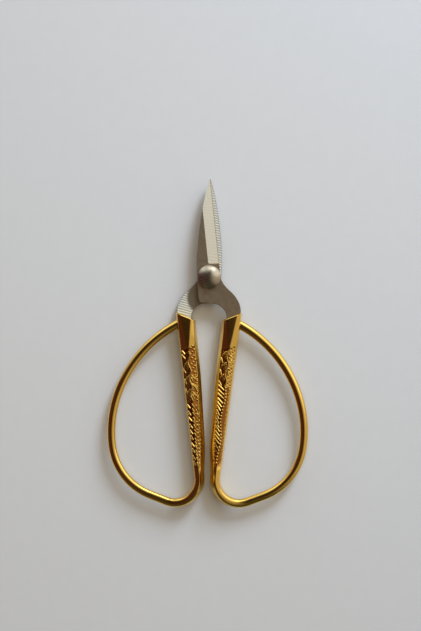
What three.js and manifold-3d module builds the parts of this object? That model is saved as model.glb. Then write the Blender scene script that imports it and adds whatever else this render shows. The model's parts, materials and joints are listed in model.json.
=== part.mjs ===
// Embroidery scissors with cast D-shaped bows, closed and lying flat.
// Two identical halves cross at a domed rivet. Each half is a stamped and ground steel blade whose
// tang is held in a cast handle. The back half is the front half turned over about the long axis.
// Millimetres, +X to the right, +Y to the tips, +Z up. The origin is under the middle of the scissors.
import * as THREE from "three";
import { mergeVertices } from "three/addons/utils/BufferGeometryUtils.js";
import Module from "manifold-3d";

const wasm = await Module();
wasm.setup();

// Sizes. Points are measured from the pivot, on the half whose handle is on the right.

// Blade steel
const STOCK = 1.6; // thickness of the steel
const FACE_GAP = 0.05; // running gap between the two ground inner faces
const BLADE_LENGTH = 29.9; // pivot to tip
const GRIND_START = 3.95; // where the ground bevel begins, ahead of the pivot
const EDGE_OFFSET = 3.0; // cutting edge to the long axis, at the start of the bevel
const SPINE_OFFSET = 3.8; // spine to the long axis, at the start of the bevel
const SPINE_RUN = 8.0; // length over which the spine stays nearly parallel
const TIP_FULLNESS = 2.2; // how far the spine bellies out behind the tip
const TIP_RUN = 6.4; // length of that belly
const BEVEL_WIDTH = 3.3; // ground bevel, across the blade
const EDGE_LAND = 0.3; // steel left under the bevel at the edge
const RUNOUT = 0.8; // slope of the bevel's end wall, length per depth

// Pivot plate and shank
const PLATE_WAIST = new THREE.Vector2(-3.45, -4.0); // plate's free side, beside the rivet
const PLATE_CORNER = new THREE.Vector2(-2.75, -7.8); // its lower corner
const ARCH_START = new THREE.Vector2(1.2, -8.1); // where the arch between the shanks begins
const NECK = new THREE.Vector2(3.3, 1.0); // end of the edge side, beside the rivet
const SHOULDER = new THREE.Vector2(6.5, -4.3); // where the shank's outer line turns downwards
const SHANK_OUT = 2.8; // shank's outer side to the bar's axis, along the ferrule's mouth
const SHANK_IN = 1.8; // shank's inner side to the bar's axis, along the ferrule's mouth
const SEAT_GAP = 0.1; // shank's shoulders to the ferrule's mouth

// Tang, and the socket that the handle casts round it
const TANG_WIDTH = 2.4;
const TANG_LENGTH = 11.0;
const TANG_HOLE = 0.7; // radius of the locking hole
const TANG_HOLE_DEPTH = 6.5; // mouth to the locking hole
const SOCKET_CLEARANCE = 0.2;

// Rivet
const RIVET_RADIUS = 1.45;
const BORE_CLEARANCE = 0.05; // all round the rivet
const HEAD_RADIUS = 3.5;
const HEAD_HEIGHT = 2.0;
const HEAD_RIM = 0.55; // upright band under the dome
const SEAT_PLAY = 0.05; // under the head, and on each side of the washer
const WASHER_RADIUS = 2.7;
const WASHER_THICK = 0.4;
const TAIL_RADIUS = 2.1; // hammered end
const TAIL_HEIGHT = 0.5;

// Handle bar
const MOUTH = new THREE.Vector2(7.05, -11.9); // middle of the ferrule's mouth
const HEEL = new THREE.Vector2(2.45, -60.75); // where the bar ends and the bow begins
const MOUTH_SLANT = 27; // degrees, outer side higher
const MOUTH_CHAMFER = 0.35;
const BAR_THICK = 6.0;
const BAR_WIDTH_MOUTH = 6.1;
const BAR_WIDTH_HEEL = 3.4;
const SIDE_HEIGHT = 2.3; // height of the drafted side facet above the middle plane
const OUTER_DRAFT = 0.5; // how far that facet leans in, on the bow's side
const INNER_DRAFT_MOUTH = 0.7; // the same on the side of the other handle, at the mouth
const INNER_DRAFT_HEEL = 1.1; // and at the heel
const FLAT_WIDTH = 3.2; // triangular flat, at the mouth
const FLAT_LENGTH = 10.5; // its length down to the ridge
const RIDGE_LAND = 0.3; // width of the ridge below it

// Bow
const HEEL_RADIUS = 7.3;
const BOTTOM_RISE = 20.9; // degrees that the bottom run climbs outwards
const BOTTOM_RUN = 5.3;
const CORNER_RADIUS = 18.4;
const CORNER_HEADING = 81.4; // degrees, heading where the corner ends
const ROOT_DEPTH = 2.45; // bow's return to the bar, below the mouth
const ROOT_HEADING = 150; // degrees, heading at the return
const ROOT_SINK = 1.6; // how deep the return is cast into the bar
const ROOT_FLARE = 1.1; // swelling of the return where it joins the bar
const SWEEP_EASE = 0.358; // ease of the upper sweep at both ends, per chord
const BOW_WIDTH_MID = 2.5; // in the plane of the scissors, at the outermost point
const BOW_WIDTH_END = 2.65; // the same, at both ends
const BOW_THICK = 2.0;
const BOW_RIDGE = 1.5; // softly ridged section: 1 is an ellipse, 2 a rhombus

const CURVE_STEPS = 20; // steps on each drawn curve
const RING_SIDES = 16; // sides of a bar or bow section, in four equal quarters

// Derived levels, from the plane where the two halves meet
const INNER_FACE = FACE_GAP / 2;
const OUTER_FACE = INNER_FACE + STOCK;
const BORE_RADIUS = RIVET_RADIUS + BORE_CLEARANCE;

// Directions in the plane of the scissors
const radians = THREE.MathUtils.degToRad;
const headingVector = (angle) => new THREE.Vector2(Math.cos(angle), Math.sin(angle));
const leftOf = (direction) => new THREE.Vector2(-direction.y, direction.x);
const along = (start, direction, length) => start.clone().addScaledVector(direction, length);

const barAxis = HEEL.clone().sub(MOUTH).normalize(); // from the ferrule down to the heel
const barOut = leftOf(barAxis); // towards the bow
const barLength = HEEL.distanceTo(MOUTH);
const mouthSlope = Math.tan(radians(MOUTH_SLANT));
// A point of the handle by its depth below the mouth and its offset from the bar's axis.
const barPoint = (depth, offset) => along(along(MOUTH, barAxis, depth), barOut, offset);
// A point on the slanted mouth line, or at a depth below it.
const mouthPoint = (offset, depth = 0) => barPoint(depth - offset * mouthSlope, offset);

// A closed three.js geometry as a solid, and back again.
function solid(geometry) {
  const bare = geometry.clone();
  bare.deleteAttribute("normal");
  bare.deleteAttribute("uv");
  const merged = mergeVertices(bare, 1e-4);
  return new wasm.Manifold(
    new wasm.Mesh({
      numProp: 3,
      vertProperties: new Float32Array(merged.attributes.position.array),
      triVerts: new Uint32Array(merged.index.array),
    }),
  );
}

function geometryOf(body) {
  const mesh = body.getMesh();
  const geometry = new THREE.BufferGeometry();
  geometry.setAttribute("position", new THREE.BufferAttribute(mesh.vertProperties, 3));
  geometry.setIndex(new THREE.BufferAttribute(mesh.triVerts, 1));
  const flat = geometry.toNonIndexed();
  flat.computeVertexNormals();
  return flat;
}

function plate(shape, bottom, top) {
  const options = { depth: top - bottom, bevelEnabled: false, curveSegments: CURVE_STEPS };
  return new THREE.ExtrudeGeometry(shape, options).translate(0, 0, bottom);
}

// Outline of the tang below the mouth, grown by a clearance, as corner points.
function tangCorners(grow) {
  const half = TANG_WIDTH / 2 + grow;
  const end = TANG_LENGTH + grow;
  return {
    outerTop: mouthPoint(half),
    outerEnd: barPoint(end - half / 2, half),
    outerTip: barPoint(end, half / 2),
    innerTip: barPoint(end, -half / 2),
    innerEnd: barPoint(end - half / 2, -half),
    innerTop: mouthPoint(-half),
  };
}

function circle(centre, radius) {
  const path = new THREE.Path();
  path.absarc(centre.x, centre.y, radius, 0, 2 * Math.PI, true);
  return path;
}

// The stamped blank: blade, pivot plate, curved shank and tang in one outline.
function bladeOutline() {
  const tang = tangCorners(0);
  const shankOuter = mouthPoint(SHANK_OUT * Math.cos(radians(MOUTH_SLANT)), -SEAT_GAP);
  const shankInner = mouthPoint(-SHANK_IN * Math.cos(radians(MOUTH_SLANT)), -SEAT_GAP);
  const tangOuter = along(tang.outerTop, barAxis, -SEAT_GAP);
  const tangInner = along(tang.innerTop, barAxis, -SEAT_GAP);
  const shape = new THREE.Shape();
  shape.moveTo(0, BLADE_LENGTH);
  shape.bezierCurveTo(
    -TIP_FULLNESS,
    BLADE_LENGTH - TIP_RUN,
    -SPINE_OFFSET,
    GRIND_START + SPINE_RUN,
    -SPINE_OFFSET,
    GRIND_START,
  );
  shape.lineTo(PLATE_WAIST.x, PLATE_WAIST.y);
  shape.quadraticCurveTo(
    PLATE_WAIST.x,
    (PLATE_WAIST.y + PLATE_CORNER.y) / 2,
    PLATE_CORNER.x,
    PLATE_CORNER.y,
  );
  shape.lineTo(ARCH_START.x, ARCH_START.y);
  // The arch leaves the plate level and comes down onto the mouth along the bar.
  const drop = ARCH_START.y - shankInner.y;
  const archEnd = along(shankInner, barAxis, -drop / 2);
  shape.bezierCurveTo(
    (ARCH_START.x + shankInner.x) / 2,
    ARCH_START.y,
    archEnd.x,
    archEnd.y,
    shankInner.x,
    shankInner.y,
  );
  shape.lineTo(tangInner.x, tangInner.y);
  shape.lineTo(tang.innerEnd.x, tang.innerEnd.y);
  shape.lineTo(tang.innerTip.x, tang.innerTip.y);
  shape.lineTo(tang.outerTip.x, tang.outerTip.y);
  shape.lineTo(tang.outerEnd.x, tang.outerEnd.y);
  shape.lineTo(tangOuter.x, tangOuter.y);
  shape.lineTo(shankOuter.x, shankOuter.y);
  // The shank's outer line: up along the bar, round the shoulder, then hollow into the neck.
  const rise = SHOULDER.y - shankOuter.y;
  const flank = along(shankOuter, barAxis, -rise * 0.43);
  const slope = new THREE.Vector2(-1, 0.8).normalize();
  const overShoulder = along(SHOULDER, slope, -rise * 0.27);
  const intoNeck = along(SHOULDER, slope, (NECK.y - SHOULDER.y) * 0.36);
  shape.bezierCurveTo(flank.x, flank.y, overShoulder.x, overShoulder.y, SHOULDER.x, SHOULDER.y);
  shape.bezierCurveTo(
    intoNeck.x,
    intoNeck.y,
    NECK.x,
    NECK.y - (NECK.y - SHOULDER.y) * 0.4,
    NECK.x,
    NECK.y,
  );
  shape.lineTo(EDGE_OFFSET, GRIND_START);
  shape.closePath();
  shape.holes.push(circle(new THREE.Vector2(0, 0), BORE_RADIUS));
  shape.holes.push(circle(barPoint(TANG_HOLE_DEPTH, 0), TANG_HOLE));
  return shape;
}

// The wedge that grinding takes off the outer face, from the edge up to the grind line.
function bevelWedge() {
  const start = new THREE.Vector2(EDGE_OFFSET, GRIND_START);
  const edge = new THREE.Vector2(0, BLADE_LENGTH).sub(start);
  const length = edge.length() + STOCK;
  const slope = (STOCK - EDGE_LAND) / BEVEL_WIDTH;
  const profile = new THREE.Shape();
  const over = STOCK; // how far the wedge reaches past the steel
  profile.moveTo(-over, INNER_FACE + EDGE_LAND - over * slope);
  profile.lineTo(BEVEL_WIDTH + over, OUTER_FACE + over * slope);
  profile.lineTo(-over, OUTER_FACE + over * slope);
  profile.closePath();
  const wedge = new THREE.ExtrudeGeometry(profile, { depth: length, bevelEnabled: false });
  // The wheel runs out: the deeper the cut, the later it begins.
  const points = wedge.attributes.position;
  for (let i = 0; i < points.count; i += 1) {
    if (points.getZ(i) < length / 2) {
      points.setZ(i, (OUTER_FACE - points.getY(i)) * RUNOUT);
    }
  }
  // Profile x runs in from the edge, profile y is up, and the extrusion runs along the edge.
  const run = edge.normalize();
  const inward = leftOf(run);
  const frame = new THREE.Matrix4().makeBasis(
    new THREE.Vector3(inward.x, inward.y, 0),
    new THREE.Vector3(0, 0, 1),
    new THREE.Vector3(run.x, run.y, 0),
  );
  frame.setPosition(start.x, start.y, 0);
  return wedge.applyMatrix4(frame);
}

function bladeGeometry() {
  const blank = solid(plate(bladeOutline(), INNER_FACE, OUTER_FACE));
  return geometryOf(blank.subtract(solid(bevelWedge())));
}

// A section of the handle, from its half width to its half height, round the quarters.
// Facets: drafted side, sloping bevel, flat or ridge. A round of 1 turns it into the bow's section.
function handleSection({ half, height, side, outerDraft, innerDraft, flat, round }) {
  const steps = RING_SIDES / 4;
  const quarter = (draft) => {
    const facets = [
      [half, 0],
      [half - draft, side],
      [(half - draft + flat) / 2, (side + height) / 2],
      [flat, height],
      [0, height],
    ];
    return facets.map(([x, z], i) => {
      const angle = ((i / steps) * Math.PI) / 2;
      return new THREE.Vector2(
        THREE.MathUtils.lerp(x, half * Math.cos(angle) ** BOW_RIDGE, round),
        THREE.MathUtils.lerp(z, height * Math.sin(angle) ** BOW_RIDGE, round),
      );
    });
  };
  const inner = quarter(innerDraft).slice(0, -1).reverse();
  const upper = [...quarter(outerDraft), ...inner.map((p) => new THREE.Vector2(-p.x, p.y))];
  const lower = upper.slice(1, -1).reverse().map((p) => new THREE.Vector2(p.x, -p.y));
  return [...upper, ...lower];
}

// A section stood up across the path: its x points to the left of the heading, its y is up.
// A slope leans the section along the path by so much for each step to the left.
function ringAt(centre, heading, section, slope = 0) {
  const left = leftOf(heading);
  return section.map((p) => {
    const at = along(along(centre, left, p.x), heading, -p.x * slope);
    return new THREE.Vector3(at.x, at.y, p.y);
  });
}

// A closed skin over rings with the same number of points, with a flat cap at each end.
function loft(rings) {
  const sides = rings[0].length;
  const positions = rings.flat().flatMap((p) => [p.x, p.y, p.z]);
  const index = [];
  for (let r = 0; r + 1 < rings.length; r += 1) {
    for (let s = 0; s < sides; s += 1) {
      const a = r * sides + s;
      const b = r * sides + ((s + 1) % sides);
      index.push(a, b, a + sides, b, b + sides, a + sides);
    }
  }
  const last = (rings.length - 1) * sides;
  for (let s = 1; s + 1 < sides; s += 1) {
    index.push(0, s + 1, s);
    index.push(last, last + s, last + s + 1);
  }
  const geometry = new THREE.BufferGeometry();
  geometry.setAttribute("position", new THREE.Float32BufferAttribute(positions, 3));
  geometry.setIndex(index);
  return geometry;
}

// An arc that leaves a point on one heading and turns left to another.
function leftArc(start, from, to, radius) {
  const centre = along(start, leftOf(headingVector(from)), radius);
  const quarterTurn = Math.PI / 2;
  return new THREE.EllipseCurve(
    centre.x,
    centre.y,
    radius,
    radius,
    from - quarterTurn,
    to - quarterTurn,
    false,
  );
}

// The bow's centre line: heel, climbing bottom run, corner, then a sweep back to the bar.
function bowCurves() {
  const barHeading = Math.atan2(barAxis.y, barAxis.x);
  const rise = radians(BOTTOM_RISE);
  const heel = leftArc(HEEL, barHeading, rise, HEEL_RADIUS);
  const runStart = heel.getPoint(1);
  const runEnd = along(runStart, headingVector(rise), BOTTOM_RUN);
  const corner = leftArc(runEnd, rise, radians(CORNER_HEADING), CORNER_RADIUS);
  const sweepStart = corner.getPoint(1);
  const rootHeading = headingVector(radians(ROOT_HEADING));
  const side = barHalfWidth(ROOT_DEPTH);
  // The sweep stops where the lower corner of its end is about to meet the bar's side.
  const root = along(barPoint(ROOT_DEPTH, side), rootHeading, -BOW_WIDTH_END / 3);
  const ease = sweepStart.distanceTo(root) * SWEEP_EASE;
  const sweep = new THREE.CubicBezierCurve(
    sweepStart,
    along(sweepStart, headingVector(radians(CORNER_HEADING)), ease),
    along(root, rootHeading, -ease),
    root,
  );
  return { heel, run: new THREE.LineCurve(runStart, runEnd), corner, sweep };
}

function barHalfWidth(depth) {
  return THREE.MathUtils.lerp(BAR_WIDTH_MOUTH, BAR_WIDTH_HEEL, depth / barLength) / 2;
}

function barSection(depth) {
  const open = Math.max(0, 1 - depth / FLAT_LENGTH);
  return handleSection({
    half: barHalfWidth(depth),
    height: BAR_THICK / 2,
    side: SIDE_HEIGHT,
    outerDraft: OUTER_DRAFT,
    innerDraft: THREE.MathUtils.lerp(INNER_DRAFT_MOUTH, INNER_DRAFT_HEEL, depth / barLength),
    flat: THREE.MathUtils.lerp(RIDGE_LAND, FLAT_WIDTH, open) / 2,
    round: 0,
  });
}

function bowSection(width, blend = 1) {
  return handleSection({
    half: THREE.MathUtils.lerp(BAR_WIDTH_HEEL, width, blend) / 2,
    height: THREE.MathUtils.lerp(BAR_THICK, BOW_THICK, blend) / 2,
    side: SIDE_HEIGHT,
    outerDraft: OUTER_DRAFT,
    innerDraft: INNER_DRAFT_HEEL,
    flat: RIDGE_LAND / 2,
    round: blend,
  });
}

// Rings along one curve, with the section given by the share of the curve that lies behind it.
function ringsAlong(curve, steps, sectionAt) {
  return Array.from({ length: steps }, (_, i) => {
    const share = (i + 1) / steps;
    return ringAt(curve.getPointAt(share), curve.getTangentAt(share), sectionAt(share));
  });
}

// The cast handle: a faceted bar that runs on as a slim bow and comes back into its own side.
function handleGeometry() {
  const { heel, run, corner, sweep } = bowCurves();
  const lip = barSection(0).map((p) => p.clone().multiplyScalar(1 - (2 * MOUTH_CHAMFER) / BAR_THICK));
  const rings = [
    ringAt(MOUTH, barAxis, lip, mouthSlope),
    ringAt(along(MOUTH, barAxis, MOUTH_CHAMFER), barAxis, barSection(0), mouthSlope),
    ringAt(along(MOUTH, barAxis, FLAT_LENGTH), barAxis, barSection(FLAT_LENGTH)),
    ringAt(HEEL, barAxis, barSection(barLength)),
    ...ringsAlong(heel, 12, (share) => bowSection(BOW_WIDTH_END, THREE.MathUtils.smoothstep(share, 0, 1))),
    ...ringsAlong(run, 2, () => bowSection(BOW_WIDTH_END)),
    ...ringsAlong(corner, 10, (share) =>
      bowSection(THREE.MathUtils.lerp(BOW_WIDTH_END, BOW_WIDTH_MID, share)),
    ),
    ...ringsAlong(sweep, 16, (share) =>
      bowSection(THREE.MathUtils.lerp(BOW_WIDTH_MID, BOW_WIDTH_END, share)),
    ),
  ];
  // The root carries the bow's end on into the bar, a little swollen.
  const rootHeading = headingVector(radians(ROOT_HEADING));
  const rootSection = (flare) => bowSection(BOW_WIDTH_END).map((p) => p.clone().multiplyScalar(flare));
  const bowEnd = sweep.getPoint(1);
  const sink = BOW_WIDTH_END / 3 + ROOT_SINK;
  const root = loft([
    ringAt(along(bowEnd, rootHeading, -ROOT_SINK / 2), rootHeading, rootSection((1 + ROOT_FLARE) / 2)),
    ringAt(along(bowEnd, rootHeading, sink), rootHeading, rootSection(ROOT_FLARE)),
  ]);
  return geometryOf(solid(loft(rings)).add(solid(root)).subtract(socketSolid()));
}

// The hollow round the tang, with the plug of casting that fills the tang's hole left standing.
function socketSolid() {
  const tang = tangCorners(SOCKET_CLEARANCE);
  const above = -BAR_THICK; // well clear of the mouth
  const shape = new THREE.Shape([
    along(tang.innerTop, barAxis, above),
    tang.innerEnd,
    tang.innerTip,
    tang.outerTip,
    tang.outerEnd,
    along(tang.outerTop, barAxis, above),
  ]);
  shape.holes.push(circle(barPoint(TANG_HOLE_DEPTH, 0), TANG_HOLE - SOCKET_CLEARANCE));
  return solid(plate(shape, INNER_FACE - SOCKET_CLEARANCE, OUTER_FACE + SOCKET_CLEARANCE));
}

// Rivet, turned about the pivot: domed head in front, shank, hammered tail behind.
// The dome is a cap of a ball, on an upright band.
function rivetGeometry() {
  const headFoot = OUTER_FACE + SEAT_PLAY;
  const cap = HEAD_HEIGHT - HEAD_RIM;
  const ball = (HEAD_RADIUS ** 2 + cap ** 2) / (2 * cap);
  const tailTop = -OUTER_FACE - WASHER_THICK - 2 * SEAT_PLAY;
  const profile = new THREE.Path();
  profile.moveTo(0, tailTop - TAIL_HEIGHT);
  profile.quadraticCurveTo(TAIL_RADIUS, tailTop - TAIL_HEIGHT, TAIL_RADIUS, tailTop);
  profile.lineTo(RIVET_RADIUS, tailTop);
  profile.lineTo(RIVET_RADIUS, headFoot);
  profile.lineTo(HEAD_RADIUS, headFoot);
  profile.absarc(0, headFoot + HEAD_HEIGHT - ball, ball, Math.acos(HEAD_RADIUS / ball), Math.PI / 2, false);
  const points = profile.getPoints(6);
  points[points.length - 1].x = 0; // the crown lies on the axis
  return new THREE.LatheGeometry(points, 2 * CURVE_STEPS).rotateX(Math.PI / 2);
}

// Washer under the hammered tail.
function washerGeometry() {
  const top = -OUTER_FACE - SEAT_PLAY;
  const ring = new THREE.Shape();
  ring.absarc(0, 0, WASHER_RADIUS, 0, 2 * Math.PI, false);
  ring.holes.push(circle(new THREE.Vector2(0, 0), BORE_RADIUS));
  return plate(ring, top - WASHER_THICK, top);
}

function named(name, geometry, color, roughness, metalness) {
  const material = new THREE.MeshStandardMaterial({ color, roughness, metalness });
  const mesh = new THREE.Mesh(geometry, material);
  mesh.name = name;
  return mesh;
}

const STEEL = 0x8c857a;
const GOLD = 0xd4a84a;
const blade = bladeGeometry();
const handle = handleGeometry();

const frontHalf = new THREE.Group();
frontHalf.add(named("front_blade", blade, STEEL, 0.38, 1));
frontHalf.add(named("right_handle", handle, GOLD, 0.15, 1));

// The same two pieces turned over about the long axis.
const backHalf = new THREE.Group();
backHalf.rotation.y = Math.PI;
backHalf.add(named("back_blade", blade, STEEL, 0.38, 1));
backHalf.add(named("left_handle", handle, GOLD, 0.15, 1));

const pivot = new THREE.Group();
pivot.add(frontHalf, backHalf);
pivot.add(named("pivot_rivet", rivetGeometry(), STEEL, 0.2, 1));
pivot.add(named("rivet_washer", washerGeometry(), STEEL, 0.3, 1));

// The pivot is set so that the scissors lie on z = 0 with their middle over the origin.
const extent = new THREE.Box3().setFromObject(pivot, true);
pivot.position.set(0, -(extent.min.y + extent.max.y) / 2, -extent.min.z);

const scissors = new THREE.Group();
scissors.name = "embroidery_scissors";
scissors.add(pivot);

export default scissors;
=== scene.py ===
# %% [markdown]
# # Embroidery scissors with cast gold handles
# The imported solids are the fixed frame: two blades, two handles, a rivet and its washer. Every piece
# made below stands in the place of one solid and rides on the same half of the scissors.

# %% Load the solids and keep their box
import json
import math

import bmesh
import bpy
import numpy as np
from mathutils import Matrix, Vector
from mathutils.geometry import interpolate_bezier


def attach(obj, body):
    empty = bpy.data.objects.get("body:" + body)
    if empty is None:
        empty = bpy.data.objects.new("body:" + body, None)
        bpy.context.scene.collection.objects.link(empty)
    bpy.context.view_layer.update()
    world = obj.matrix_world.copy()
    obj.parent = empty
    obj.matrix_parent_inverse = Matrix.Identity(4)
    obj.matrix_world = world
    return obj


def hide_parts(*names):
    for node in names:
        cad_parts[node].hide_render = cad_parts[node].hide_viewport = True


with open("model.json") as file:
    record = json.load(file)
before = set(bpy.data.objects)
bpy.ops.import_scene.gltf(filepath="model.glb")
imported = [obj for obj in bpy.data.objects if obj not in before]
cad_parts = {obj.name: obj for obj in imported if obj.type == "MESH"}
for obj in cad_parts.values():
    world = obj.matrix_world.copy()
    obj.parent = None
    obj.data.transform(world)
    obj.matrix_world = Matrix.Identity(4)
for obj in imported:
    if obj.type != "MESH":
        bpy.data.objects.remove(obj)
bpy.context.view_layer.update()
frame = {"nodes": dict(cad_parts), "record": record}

pivot = Vector(frame["record"]["behaviour"]["joints"][0]["pos_m"])
print("solids:", sorted(frame["nodes"]), "pivot at", [round(c, 5) for c in pivot])

# %% [markdown]
# ## One half, used twice
# Both halves are the same pattern, one of them turned over about the long axis. Each piece is drawn in
# millimetres from the pivot, on the half whose handle is on the right, and a matrix then puts it in the
# frame. The back half's matrix adds half a turn, so nothing has to be drawn twice.

# %% Placing matrices
MILLIMETRE = 0.001
FRONT = Matrix.Translation(pivot) @ Matrix.Scale(MILLIMETRE, 4)
BACK = Matrix.Translation(pivot) @ Matrix.Rotation(math.pi, 4, "Y") @ Matrix.Scale(MILLIMETRE, 4)


def set_down(mesh, name, place, materials, body, node):
    """Puts a mesh drawn in millimetres into the frame as the piece that stands for a solid."""
    mesh.transform(place)
    mesh.name = name
    for material in materials:
        mesh.materials.append(material)
    piece = bpy.data.objects.new(name, mesh)
    bpy.context.scene.collection.objects.link(piece)
    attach(piece, body)
    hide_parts(node)
    print(name, len(mesh.polygons), "faces")


# %% [markdown]
# ## Finishes
# Five finishes cover the scissors: bright gold plating on the castings, dull stamped steel on the blades'
# outer faces, a fine grind on the bevels, a coarse crosswise grind on the inner faces, and a polished
# rivet. All are metals, so most of what one sees is reflection, and the nodes mostly break it up: a little
# colour drift, uneven roughness and fine tooling marks. Some shade is painted into the colours as well:
# in the grinds' grooves, in the hollows of the gold's relief, and as a shadow on the inner faces behind
# the pivot. The patterns sit on object coordinates, which are metres here, so a scale of 1000 is a
# pattern of about a millimetre.

# %% Material helpers
def metal(name, colour, roughness, metallic=1.0):
    """A metal with its node tree, ready for the patterns that break it up."""
    material = bpy.data.materials.new(name)
    material.use_nodes = True
    tree = material.node_tree
    shader = tree.nodes["Principled BSDF"]
    shader.inputs["Base Color"].default_value = (*colour, 1)
    shader.inputs["Metallic"].default_value = metallic
    shader.inputs["Roughness"].default_value = roughness
    return material, tree, shader


def place_pattern(tree, turn=0.0, stretch=(1, 1, 1)):
    """Object coordinates, turned about the vertical and stretched."""
    coordinates = tree.nodes.new("ShaderNodeTexCoord")
    mapping = tree.nodes.new("ShaderNodeMapping")
    mapping.inputs["Rotation"].default_value = (0, 0, turn)
    mapping.inputs["Scale"].default_value = stretch
    tree.links.new(coordinates.outputs["Object"], mapping.inputs["Vector"])
    return mapping.outputs["Vector"]


def mottle(tree, vector, scale, detail=3.0):
    """Cloudy noise between 0 and 1."""
    noise = tree.nodes.new("ShaderNodeTexNoise")
    noise.inputs["Scale"].default_value = scale
    noise.inputs["Detail"].default_value = detail
    tree.links.new(vector, noise.inputs["Vector"])
    return noise.outputs["Fac"]


NOISE_LOW, NOISE_HIGH = 0.3, 0.7  # cloudy noise seldom leaves these bounds


def spread(tree, value, low, high):
    """A pattern, taken between the bounds of cloudy noise, spread over two values."""
    span = tree.nodes.new("ShaderNodeMapRange")
    span.inputs["From Min"].default_value = NOISE_LOW
    span.inputs["From Max"].default_value = NOISE_HIGH
    span.inputs["To Min"].default_value = low
    span.inputs["To Max"].default_value = high
    tree.links.new(value, span.inputs["Value"])
    return span.outputs["Result"]


def between(tree, value, dark, light):
    """A pattern between 0 and 1 as a colour between two colours."""
    ramp = tree.nodes.new("ShaderNodeValToRGB")
    ramp.color_ramp.elements[0].color = (*dark, 1)
    ramp.color_ramp.elements[1].color = (*light, 1)
    tree.links.new(value, ramp.inputs["Fac"])
    return ramp


def raised(tree, shader, height, strength, depth):
    """Lets a pattern tilt the surface by a bump of that depth in metres."""
    bump = tree.nodes.new("ShaderNodeBump")
    bump.inputs["Strength"].default_value = strength
    bump.inputs["Distance"].default_value = depth
    tree.links.new(height, bump.inputs["Height"])
    tree.links.new(bump.outputs["Normal"], shader.inputs["Normal"])


# %% Gold plating
GOLD = (0.92, 0.61, 0.15)
# The relief's ground and low parts are painted darker, as shade in its hollows
GOLD_SHADED_IN_HOLLOWS = (0.38, 0.15, 0.03)
gold, tree, shader = metal("gold_plating", GOLD, 0.16)
relief_height = tree.nodes.new("ShaderNodeAttribute")
relief_height.attribute_name = "relief"
hollow_shade_tint = between(tree, relief_height.outputs["Fac"], GOLD_SHADED_IN_HOLLOWS, GOLD)
hollow_shade_tint.color_ramp.elements[0].position = 0.02
hollow_shade_tint.color_ramp.elements[1].position = 0.45
tree.links.new(hollow_shade_tint.outputs["Color"], shader.inputs["Base Color"])
flow = mottle(tree, place_pattern(tree), scale=420)
tree.links.new(spread(tree, flow, 0.13, 0.19), shader.inputs["Roughness"])
raised(tree, shader, flow, strength=0.12, depth=0.0001)
print("made", gold.name)

# %% Stamped steel
STAMPED_DARK = (0.34, 0.27, 0.185)
STAMPED_LIGHT = (0.48, 0.39, 0.285)
stamped, tree, shader = metal("stamped_steel", STAMPED_LIGHT, 0.42, metallic=0.85)
scale_marks = mottle(tree, place_pattern(tree), scale=900, detail=6)
stamped_tint = between(tree, scale_marks, STAMPED_DARK, STAMPED_LIGHT)
tree.links.new(stamped_tint.outputs["Color"], shader.inputs["Base Color"])
tree.links.new(spread(tree, scale_marks, 0.36, 0.48), shader.inputs["Roughness"])
raised(tree, shader, scale_marks, strength=0.10, depth=0.00005)
print("made", stamped.name)


# %% Ground steel
WAVE_BAND = 2 * math.pi / 20  # distance between the bands of a wave texture whose scale is 1
STREAK = (0.06, 1, 1)  # draws the noise out along the scratches
COARSE_METALLIC = 0.5
COARSE_BUMP = 0.45


def ground_steel(name, colour, roughness, metallic, turn, pitch, strength, groove_shade):
    """Steel ground by a wheel: straight scratches a given pitch apart, with shade painted darker into the
    grooves.
    """
    material, tree, shader = metal(name, colour, roughness, metallic)
    vector = place_pattern(tree, turn)
    wave = tree.nodes.new("ShaderNodeTexWave")
    wave.bands_direction = "Y"
    wave.inputs["Scale"].default_value = WAVE_BAND / pitch
    wave.inputs["Distortion"].default_value = 1.2
    wave.inputs["Detail"].default_value = 3
    wave.inputs["Detail Scale"].default_value = 2
    tree.links.new(vector, wave.inputs["Vector"])
    # The grooves of the wave are painted darker, as shade
    tint = between(tree, wave.outputs["Fac"], [c * groove_shade for c in colour], colour)
    tint.color_ramp.elements[1].position = 0.5
    tree.links.new(tint.outputs["Color"], shader.inputs["Base Color"])
    streaks = mottle(tree, place_pattern(tree, turn, STREAK), scale=9000, detail=2)
    tree.links.new(spread(tree, streaks, roughness - 0.06, roughness + 0.08), shader.inputs["Roughness"])
    raised(tree, shader, wave.outputs["Fac"], strength, depth=0.00015)
    print("made", name)
    return material


fine_ground = ground_steel(
    "fine_ground_steel", colour=(0.66, 0.645, 0.565), roughness=0.34, metallic=0.8,
    turn=math.radians(-6), pitch=0.00045, strength=0.10, groove_shade=0.80,
)
coarse_ground = ground_steel(
    "coarse_ground_steel", colour=(0.87, 0.92, 0.86), roughness=0.48, metallic=COARSE_METALLIC,
    turn=math.radians(15), pitch=0.0007, strength=COARSE_BUMP, groove_shade=0.50,
)

# %% [markdown]
# Behind the pivot the front plate and the rivet throw a shadow onto the back blade's inner face. That
# shadow is painted on both inner faces: over a round patch the grind's colour gives way to a dark dull
# tone, the steel turns more metallic and the grind's bump fades away. A distance in object coordinates
# marks the patch, and it fades out over about a millimetre and a half. The sideways place is taken
# without its sign, as the two blades lie mirrored.

# %% Painted shadow behind the pivot
PAINTED_SHADOW_CENTRE = (0.0012, 0.0139, 0.003)
PAINTED_SHADOW_RADIUS = 0.0054
PAINTED_SHADOW_FADE = 0.0007
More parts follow.
